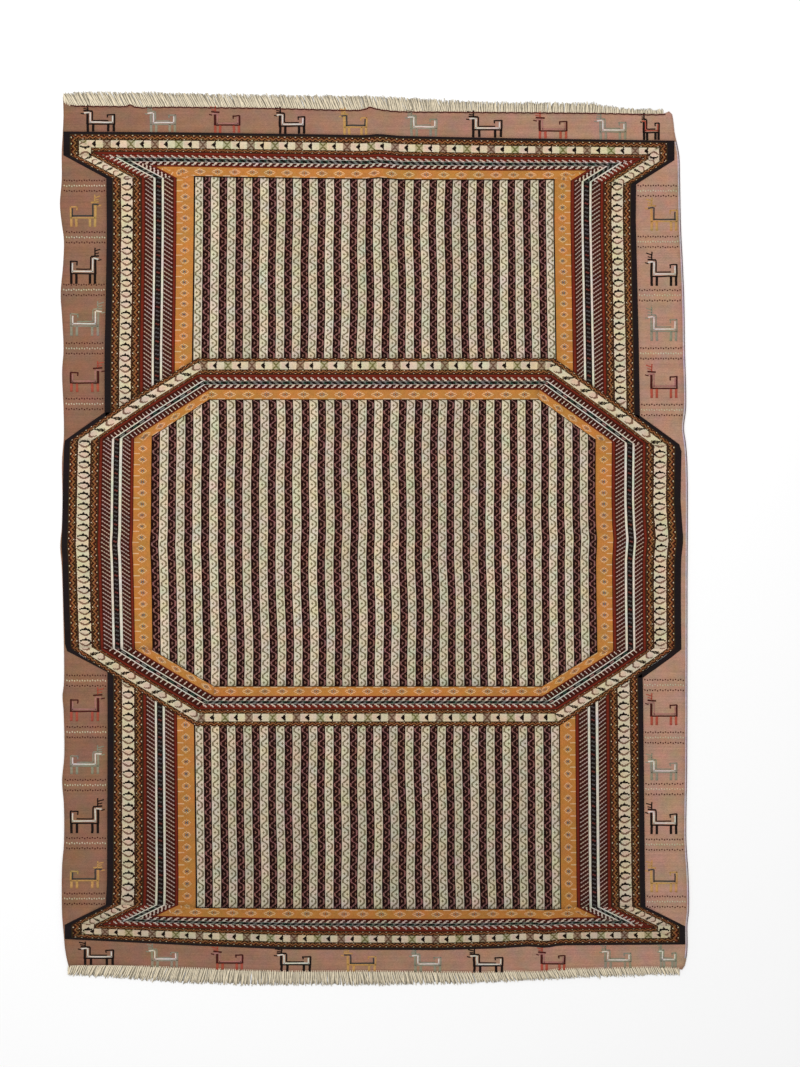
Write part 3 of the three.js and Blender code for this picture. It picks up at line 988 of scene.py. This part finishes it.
# Strokes of a goat that faces left, in pixels from the foot of its front leg's left side, y up:
# part of the coat, from x, y to x, y, and width
GOAT = (
    (2, 1.0, 25.0, 7.0, 23.6, 1.2),
    (2, 2.5, 22.3, 7.0, 21.6, 1.1),
    (2, 7.0, 26.0, 7.0, 20.0, 1.4),
    (0, 2.5, 20.2, 11.5, 19.6, 1.7),
    (0, 0.0, 17.6, 3.5, 16.9, 1.2),
    (1, 3.0, 17.9, 8.9, 18.4, 1.5),
    (0, 6.6, 17.6, 6.6, 7.0, 2.5),
    (3, 11.6, 19.4, 11.6, 10.4, 1.5),
    (1, 9.4, 18.4, 9.4, 8.2, 1.5),
    (1, 8.6, 9.0, 32.4, 9.0, 1.5),
    (3, 12.0, 10.6, 27.6, 10.6, 1.3),
    (0, 7.0, 7.3, 33.6, 7.3, 1.5),
    (1, 31.7, 15.0, 31.7, 8.2, 1.4),
    (0, 33.6, 16.5, 33.6, 7.0, 1.8),
    (0, 26.0, 16.0, 33.8, 16.4, 1.4),
    (0, 26.4, 16.2, 26.8, 13.4, 1.4),
) + tuple((2, x, 7.2, x, 0.0, 2.6) for x in (6.9, 12.4, 27.4, 32.9))
GOAT_SIZE = (34, 26)

# Goats of the two long strips: coats, and top y and foot y of each in pixels
LONG_COATS = ("yellow", "pied", "grey", "red", "red", "grey", "pied", "yellow")
LEFT_GOATS = (
    (195, 227), (248, 284), (301, 336), (361, 392), (687, 721), (745, 774), (798, 833), (861, 888),
)
RIGHT_GOATS = (
    (198, 231), (252, 286), (307, 341), (364, 398), (693, 725), (753, 780), (802, 834), (860, 892),
)
LEFT_GOAT_X = (70.5, 105)
FIRST_GOATS = 300  # pixel y down to which the left goats are narrower
NARROWER = 3.5  # pixels
RIGHT_GOAT_X = (645, 677)
# Goats of the two end strips: coats of all but the last, and left x and right x of each
END_COATS = ("pied", "grey", "red", "pied", "yellow", "grey", "pied", "red", "grey")
TOP_GOATS = (
    (81, 115), (145, 176), (209, 240), (274, 305), (339, 367),
    (405, 437), (466, 502), (533, 567), (594, 626), (640, 659),
)
BOTTOM_GOATS = (
    (78, 114), (146, 178), (211, 243), (274, 311), (341, 376),
    (409, 441), (467, 503), (536, 565), (599, 631), (657, 676),
)
# Middle y of each group of three dotted lines on the long strips
LEFT_DOTS = (186, 237.5, 290, 348.5, 404, 680.5, 732, 785, 843, 898.5)
RIGHT_DOTS = (191, 242, 295.5, 353.5, 410, 685, 737.5, 789, 844.5, 901.5)
DOT_LINES = ((-5.2, "maroon", 1.4), (0.0, "cream", 1.6), (5.2, "maroon", 1.4))  # offset, yarn, width
DOT_PITCH = 2.3
DOT_HALF = 0.55
DOT_RISE = 0.3  # every second stitch lies this much higher, the others lower
DOT_SLANT = 0.2
UNEVEN = 0.10  # pixels, the spread of a yarn's place
STROKE_LINES = (-0.5, -0.28, 0.28, 0.5)  # shares of a stroke's width
# The right edge's two lines are painted light: a pale highlight where the edge curls up and a dark shadow
# at its rim
PAINTED_EDGE_LIGHT = ((1.3, 1.5, "painted_edge_highlight"), (0.35, 0.6, "plum"))  # pixels in from the edge, width, yarn
CORD_WIDTH = 1.3
CORD_INSET = 1.0
CORD_WAVE = (0.25, 2.4)  # pixels to each side, radians to a pixel

figures = Shells({name: plain(name + " wool yarn", code) for name, code in SINGLES.items()})
loose = np.random.default_rng(SEED)


def add_stroke(x, y, width, yarn, top=GROUND_TOP + YARN_HEIGHT):
    """A raised line of yarn along a row of places in pixels: four lines side by side, the outer two
    level with the strip."""
    path = np.stack([x, y], axis=1)
    way = np.gradient(path, axis=0)
    way = way / np.linalg.norm(way, axis=1)[:, None]
    side = np.stack([-way[:, Y], way[:, X]], axis=1)
    lines = np.array([path + offset * width * side for offset in STROKE_LINES])
    figures.add(lines, (GROUND_TOP, top, top, GROUND_TOP), GROUND_TOP - YARN_ROOT, [yarn])


def add_goat(coat, left, right, high, foot, faces_left=True):
    """One goat, stretched from its strokes to the given sides."""
    wide, tall = (right - left) / GOAT_SIZE[X], (foot - high) / GOAT_SIZE[Y]
    for part, x0, y0, x1, y1, width in GOAT:
        steps = np.linspace(0, 1, 4)
        x = x0 + (x1 - x0) * steps
        x = left + wide * x if faces_left else right - wide * x
        y = foot - tall * (y0 + (y1 - y0) * steps)
        x = x + loose.normal(0, UNEVEN, 4)
        y = y + loose.normal(0, UNEVEN, 4)
        if COATS[coat][part]:
            add_stroke(x, y, width, COATS[coat][part])


def add_dots(y, left, right):
    """A line of cream stitches between two lines of maroon stitches, each a short slanting stroke."""
    for offset, yarn, width in DOT_LINES:
        for number, x in enumerate(np.linspace(left, right, int((right - left) / DOT_PITCH))):
            rise = loose.normal(0, UNEVEN) + (DOT_RISE if number % 2 else -DOT_RISE)
            ends = (y + offset + rise + DOT_SLANT, y + offset + rise - DOT_SLANT)
            add_stroke((x - DOT_HALF, x + DOT_HALF), ends, width, yarn)


for coat, (high, foot) in zip(LONG_COATS, LEFT_GOATS):
    left, right = LEFT_GOAT_X
    add_goat(coat, left, right - NARROWER * (foot < FIRST_GOATS), high, foot, False)
for coat, (high, foot) in zip(LONG_COATS, RIGHT_GOATS):
    add_goat(coat, *RIGHT_GOAT_X, high, foot)
for goats, last_coat, ground, gap, tall in (
    (TOP_GOATS, "mixed", pattern_top, 0.3, 27), (BOTTOM_GOATS, "grey", edge_bottom, 0.4, 23.5),
):
    for coat, (left, right) in zip((*END_COATS, last_coat), goats):
        foot = read_off(ground, (left + right) / 2, X) - gap
        add_goat(coat, left, right, foot - tall, foot)
for dots, left, start, right, stop in (
    (LEFT_DOTS, edge_left, 3, pattern_left, 2), (RIGHT_DOTS, pattern_right, 2, edge_right, 4),
):
    for y in dots:
        add_dots(y, read_off(left, y, Y) + start, read_off(right, y, Y) - stop)

# Two raised lines along the right edge, coloured as a pale painted highlight where the edge curls up and a
# dark painted shadow at its very rim, and the maroon cord of the top edge
edge_y = np.linspace(142, 958, 160)
edge_x = read_off(edge_right, edge_y, Y)
for inset, width, yarn in PAINTED_EDGE_LIGHT:
    add_stroke(edge_x - inset, edge_y, width, yarn)
cord_x = np.linspace(edge_top[2, X], edge_top[-3, X], 300)
cord_y = read_off(edge_top, cord_x, X) + CORD_INSET + CORD_WAVE[0] * np.sin(cord_x * CORD_WAVE[1])
add_stroke(cord_x, cord_y, CORD_WIDTH, "maroon", BORDER_TOP)

pictures = figures.build("woven_figures")
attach(pictures, "root")

# Fringes: x in metres, y that the strands reach, and how far they lean in x for one metre of length
TOP_REACH = (
    (-0.873, 1.245, -0.60), (-0.80, 1.251, -0.55), (-0.60, 1.25, -0.50), (-0.30, 1.243, -0.45),
    (0.0, 1.24, -0.30), (0.30, 1.223, -0.10), (0.50, 1.221, 0.0), (0.60, 1.222, 0.0),
    (0.69, 1.206, 0.0), (0.85, 1.2, 0.0),
)
BOTTOM_REACH = (
    (-0.86, -1.22, -0.40), (-0.70, -1.23, -0.45), (-0.50, -1.245, -0.30), (-0.371, -1.25, -0.10),
    (0.0, -1.25, 0.20), (0.25, -1.245, 0.40), (0.43, -1.236, 0.50), (0.62, -1.227, 0.50),
    (0.86, -1.22, 0.45),
)
SIDES = 5
RINGS = 7
STRAND_ROOT = 0.004  # how far a strand starts inside the cloth's edge
STRAND_LEAST = 0.007  # its least length
STRAND_INSET = 0.005  # of the outermost strands' roots from the fringe's two sides
STRAND_JITTER = 0.0004
LENGTH_SPREAD = 0.0020
CURL_SPREAD = 0.03  # share of the length
SIDE_CLEAR = 0.002  # of a strand's axis from the sides of the fringe's box
LEAN_CLEAR = 0.003  # the same where it only leans
TIP_CLEAR = 0.0005
TAPER = 0.35  # of the radius, lost at the tip
TWIST = (0.08, 21)  # swelling of the radius by the twist, radians of it over the length
ROOT_RISE = 0.0006  # of the lowest layer's roots, which sink to the floor from there

# Layers of a fringe from the floor up: ends across the carpet, least and most radius, half thickness,
# lift off the floor, spread of lean, how far they stop short of the reach
# The lowest layer lies low, so the cotton's painted shade greys it and it shows as shade in the gaps above
LAYERS = (
    (430, 0.0021, 0.0025, 0.0007, 0.0, 0.03, 0.0045),
    (540, 0.0010, 0.0013, 0.0011, 0.0004, 0.10, 0.0015),
    (330, 0.0014, 0.0018, 0.0013, 0.0008, 0.09, 0.0010),
)


def strands(rng, low, high, edge, reach, sign, layer):
    """Tubes of RINGS rings of SIDES points, as ends x rings x sides x 3. The axis goes from inside the
    cloth's edge to the reach, x + lean t + curl sin(pi t), and sinks to the floor. The radius shrinks
    to the tip, and the tube is flattened to stay below the cloth's top."""
    count, least, most, thickness, lift, spread, short = layer
    roots = np.linspace(low[X] + STRAND_INSET, high[X] - STRAND_INSET, count)
    x0 = roots + rng.normal(0, STRAND_JITTER, count)
    start = read_off(edge, x0, X) - sign * STRAND_ROOT
    end = read_off(reach, x0, X) + sign * rng.normal(-short, LENGTH_SPREAD, count)
    end = np.where(sign * (end - start) < STRAND_LEAST, start + sign * STRAND_LEAST, end)
    length = np.abs(end - start)
    lean = np.interp(x0, reach[:, 0], reach[:, 2]) + rng.normal(0, spread, count)
    lean = np.clip(lean, (low[X] + LEAN_CLEAR - x0) / length, (high[X] - LEAN_CLEAR - x0) / length)
    length = length[:, None]
    t = np.linspace(0, 1, RINGS)
    curl = rng.normal(0, CURL_SPREAD, count)[:, None]
    x = x0[:, None] + length * (lean[:, None] * t + curl * np.sin(np.pi * t))
    y = start[:, None] + (end - start)[:, None] * t
    x = np.clip(x, low[X] + SIDE_CLEAR, high[X] - SIDE_CLEAR)
    y = np.clip(y, low[Y] + TIP_CLEAR, high[Y] - TIP_CLEAR)
    swell = 1 + TWIST[0] * np.sin(TWIST[1] * t)
    radius = rng.uniform(least, most, count)[:, None] * (1 - TAPER * t ** 4) * swell
    flat = np.minimum(radius, thickness)
    rise = ROOT_RISE * (1 - t) ** 2 * rng.uniform(0.3, 1, count)[:, None] * (lift == 0)
    z = flat * 1.02 + lift + rise
    way = np.stack([np.gradient(x, axis=1), np.gradient(y, axis=1)], axis=-1)
    way = way / np.linalg.norm(way, axis=-1, keepdims=True)
    turn = np.arange(SIDES) * 2 * np.pi / SIDES
    across = radius[..., None] * np.cos(turn)
    return np.stack([
        x[..., None] - across * way[..., Y, None],
        y[..., None] + across * way[..., X, None],
        z[..., None] + flat[..., None] * np.sin(turn),
    ], axis=-1)


def add_fringe(name, node, edge, reach, sign):
    """The twisted warp ends of one end, side by side in three layers, as one mesh of closed tubes."""
    rng = np.random.default_rng(SEED + (sign > 0))
    low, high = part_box(node)
    edge, reach = ordered(place(edge), X), np.array(reach)
    points = np.concatenate([strands(rng, low, high, edge, reach, sign, layer) for layer in LAYERS])
    size = RINGS * SIDES
    tube = np.arange(len(points))[:, None] * size
    ring = tube[..., None] + np.arange(RINGS - 1)[:, None] * SIDES
    k = np.arange(SIDES)
    a, b = ring + k, ring + (k + 1) % SIDES
    walls = np.stack([a, b, b + SIDES, a + SIDES], axis=-1).reshape(-1, 4)
    caps = (tube + k[::-1]).tolist() + (tube + size - SIDES + k).tolist()
    mesh = bpy.data.meshes.new(name)
    mesh.from_pydata(points.reshape(-1, 3), [], walls.tolist() + caps)
    mesh.update()
    index = read(mesh.loops, "vertex_index", 1, np.int32)
    u = (index % size) // SIDES / (RINGS - 1) + index // size
    weave = np.stack([u, (index % SIDES) / SIDES], axis=1).reshape(-1).astype(np.float32)
    mesh.uv_layers.new(name="weave").data.foreach_set("uv", weave)
    mesh.polygons.foreach_set("use_smooth", np.ones(len(mesh.polygons), bool))
    mesh.materials.append(FRINGE_COTTON)
    bake_map(mesh)
    piece = placed(name, mesh)
    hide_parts(node)
    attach(piece, "root")


def fringe_cotton():
    """Undyed twisted cotton: cream, a little different from end to end, greyed by painted shade where it
    lies low between the ends, with the twist as a slanting ridge."""
    material, tree = new_material("undyed twisted cotton")
    place_in = add(tree, "TexCoord").outputs["Object"]
    height = add(tree, "SeparateXYZ", (place_in,)).outputs[2]
    # painted shade: the lower the cotton lies, the darker it is, down to 0.40 of its colour near the floor
    painted_gap_shade = add(tree, "MapRange", (height, 0.0016, 0.0031, 0.40, 1.12))
    one = add(tree, "SeparateXYZ", (add(tree, "UVMap", uv_map="weave"),))
    strand = add(tree, "Math", (one,), operation="FLOOR")
    tone = add(tree, "TexWhiteNoise", {"W": strand}, noise_dimensions="1D")
    level = add(tree, "MapRange", (tone, 0.0, 1.0, 0.86, 1.08))
    long_way = add(tree, "Mapping", {"Vector": place_in, "Scale": (500.0, 60.0, 1.0)})
    fibre = add(tree, "TexNoise", {"Vector": long_way, "Scale": 1.0, "Detail": 2.0})
    fluff = add(tree, "MapRange", (fibre, 0.0, 1.0, 0.86, 1.12))
    strength = multiplied(tree, (painted_gap_shade, level, fluff))
    colour = add(tree, "VectorMath", {0: linear("#dccfb5")[:3], "Scale": strength}, operation="SCALE")
    turn = add(tree, "Math", (one, 6.0, one.outputs[1]), operation="MULTIPLY_ADD")
    ridge = add(tree, "Math", (turn, 0.5), operation="PINGPONG")
    yarn_surface(tree, colour, ridge, 0.5, 0.0004, 0.92, 0.15, 0.05)
    return material


FRINGE_COTTON = fringe_cotton()
add_fringe("top_warp_ends", "fringe_top", edge_top, TOP_REACH, 1)
add_fringe("bottom_warp_ends", "fringe_bottom", edge_bottom, BOTTOM_REACH, -1)


def stage():
    """A pale floor under the carpet, a soft sky and one large soft light high at the upper left."""
    mesh = bpy.data.meshes.new("floor")
    corners = [(x * FLOOR_HALF, y * FLOOR_HALF, 0) for x, y in ((-1, -1), (1, -1), (1, 1), (-1, 1))]
    mesh.from_pydata(corners, [], [(0, 1, 2, 3)])
    floor = placed("floor", mesh)
    floor.location.z = -FLOOR_DROP
    material, tree = new_material("pale floor")
    surface = add(tree, "BsdfPrincipled", {"Base Color": (0.96, 0.96, 0.96, 1), "Roughness": 0.9})
    add(tree, "OutputMaterial", (surface,))
    mesh.materials.append(material)
    world = bpy.data.worlds.new("studio")
    bpy.context.scene.world = world
    world.use_nodes = True
    background = world.node_tree.nodes["Background"]
    background.inputs["Color"].default_value = (1, 1, 1, 1)
    background.inputs["Strength"].default_value = 0.68
    data = bpy.data.lights.new("softbox", "AREA")
    data.shape = "DISK"
    data.size = 4.0
    data.energy = 190
    lamp = placed("softbox", data)
    lamp.location = (-1.5, 2.2, 5.5)
    lamp.rotation_euler = (math.radians(-22), math.radians(-15), 0)


def camera():
    """Straight above, framed as the photograph is."""
    data = bpy.data.cameras.new("camera")
    data.sensor_fit = "AUTO"
    data.sensor_width = SENSOR
    data.lens = SENSOR * CAMERA_HEIGHT / (PHOTO_SIZE[1] * PIXEL)
    eye = placed("camera", data)
    eye.location = (*place([PHOTO_SIZE[0] / 2, PHOTO_SIZE[1] / 2]), CAMERA_HEIGHT)
    bpy.context.scene.camera = eye


stage()
camera()
bpy.context.scene.view_settings.view_transform = "Standard"
